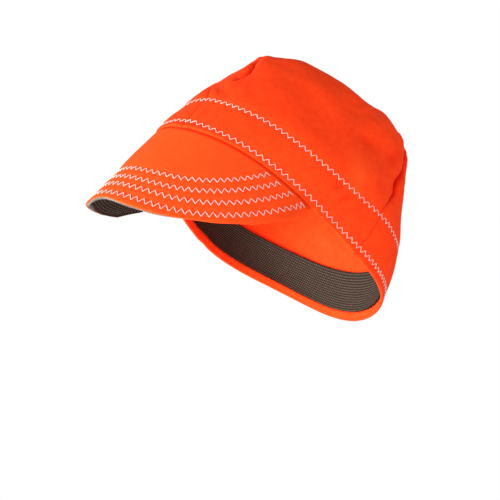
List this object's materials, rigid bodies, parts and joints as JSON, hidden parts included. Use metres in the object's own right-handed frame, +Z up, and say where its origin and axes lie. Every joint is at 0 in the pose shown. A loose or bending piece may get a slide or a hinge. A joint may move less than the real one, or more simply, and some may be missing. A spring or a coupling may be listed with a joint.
{
  "type": "protective cap",
  "caption": "Soft cotton work cap with a gored crown, a ribbed inner sweatband and a short stitched peak that curls down over the brow, in its worn form.",
  "frame": {"origin": "middle of the head opening, in the plane of the crown's rim, where the head sits", "axes": "-Y forwards over the peak, +X to the wearer's left, +Z up as the cap is worn; the rim plane is pitched 41 degrees about X, front up"},
  "size_m": [0.1663, 0.2194, 0.1801],
  "materials": {
    "orange_cloth": "matt heavy cotton",
    "dark_lining": "ribbed dark cloth",
    "grey_tape": "woven edge tape",
    "white_thread": "zigzag stitching"
  },
  "bodies": {
    "root": {"crown_front_left": "orange_cloth", "crown_front_right": "orange_cloth", "crown_back_left": "orange_cloth", "crown_back_right": "orange_cloth", "sweatband": "dark_lining", "peak_top": "orange_cloth", "peak_lining": "dark_lining", "peak_edge": "grey_tape"}
  },
  "joints": []
}
